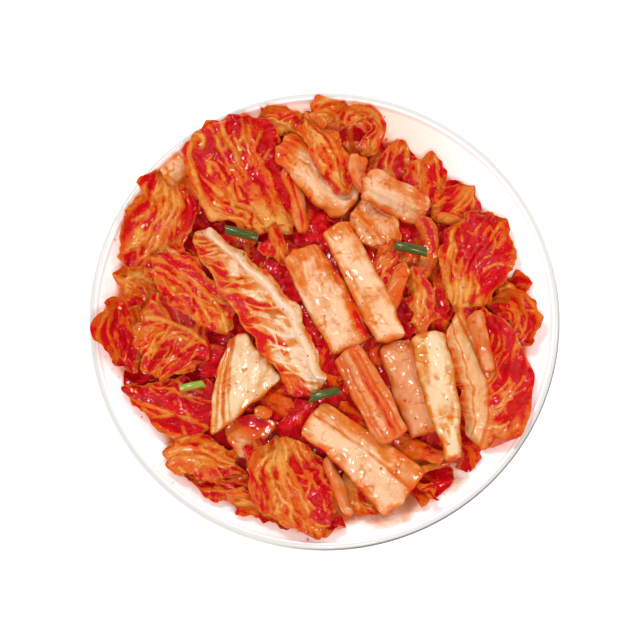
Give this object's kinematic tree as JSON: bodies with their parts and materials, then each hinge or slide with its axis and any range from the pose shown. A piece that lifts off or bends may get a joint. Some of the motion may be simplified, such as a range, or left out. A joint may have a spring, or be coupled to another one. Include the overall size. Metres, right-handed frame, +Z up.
{
  "type": "kimchi on a plate",
  "caption": "Heap of seasoned cabbage leaves and stems with cut scallion, in red chili sauce, on a small round white plate.",
  "frame": {"origin": "centre of the plate's foot, on the surface it stands on", "axes": "+Z up, -Y towards the eater and the camera, +X to the eater's right"},
  "size_m": [0.17, 0.17, 0.037],
  "materials": {
    "glaze": "gloss",
    "sauce_bed": "gloss",
    "leaf_red": "gloss",
    "leaf_orange": "gloss",
    "stem_salmon": "gloss",
    "stem_pale": "gloss",
    "stem_cream": "gloss",
    "scallion_dark": "gloss",
    "scallion_bright": "gloss"
  },
  "bodies": {
    "root": {"plate": "glaze", "kimchi_bed": "sauce_bed", "leaf_front_left_dark": "leaf_red", "leaf_front_left_red": "leaf_red", "leaf_front_under": "leaf_orange", "leaf_front_right_low": "leaf_orange", "tip_front_right": "leaf_orange", "curl_front_right": "leaf_red", "strip_front_right_short": "leaf_orange", "strip_front_right_long": "leaf_orange", "leaf_back_right_a": "leaf_red", "leaf_back_right_b": "leaf_red", "leaf_back_right_c": "leaf_red", "strip_back_right": "leaf_orange", "leaf_back_far": "leaf_orange", "curl_right_edge": "leaf_red", "leaf_left_back": "leaf_orange", "leaf_left_edge": "leaf_orange", "chip_left_back": "stem_pale", "leaf_left_curled": "leaf_red", "leaf_left_ruffled": "leaf_orange", "bit_left_ruffled": "stem_salmon", "leaf_left_diagonal": "leaf_orange", "strips_front_left": "leaf_orange", "piece_front_left_clear": "stem_salmon", "bit_front_left": "leaf_orange", "lump_front_dark": "leaf_red", "leaf_front_folded": "leaf_orange", "strip_front_pale": "stem_salmon", "leaf_back_left_fan": "leaf_orange", "strip_back_short": "stem_salmon", "stem_back_peach": "stem_pale", "leaf_back_ribbed": "leaf_orange", "bit_back": "leaf_orange", "curl_back": "leaf_orange", "stem_back_curved": "stem_salmon", "piece_back_lower": "leaf_orange", "piece_back_broad": "stem_salmon", "leaf_right_curled": "leaf_orange", "strip_right_curved": "leaf_orange", "leaf_right_gap": "leaf_orange", "leaf_right_narrow": "leaf_orange", "strip_right_clear": "stem_salmon", "stem_right_salmon": "stem_salmon", "leaf_right_big": "leaf_orange", "strip_right_pink": "stem_salmon", "knob_centre_left": "leaf_orange", "stem_centre_clear": "stem_pale", "stem_left_pale": "stem_cream", "leaf_diagonal": "stem_salmon", "stem_front_pale": "stem_pale", "stem_strip_pair": "stem_salmon", "stem_right_yellow": "stem_cream", "stem_centre_top": "stem_pale", "scallion_back_left": "scallion_dark", "scallion_back_right": "scallion_dark", "scallion_front_left": "scallion_bright", "scallion_front": "scallion_dark"}
  },
  "joints": []
}
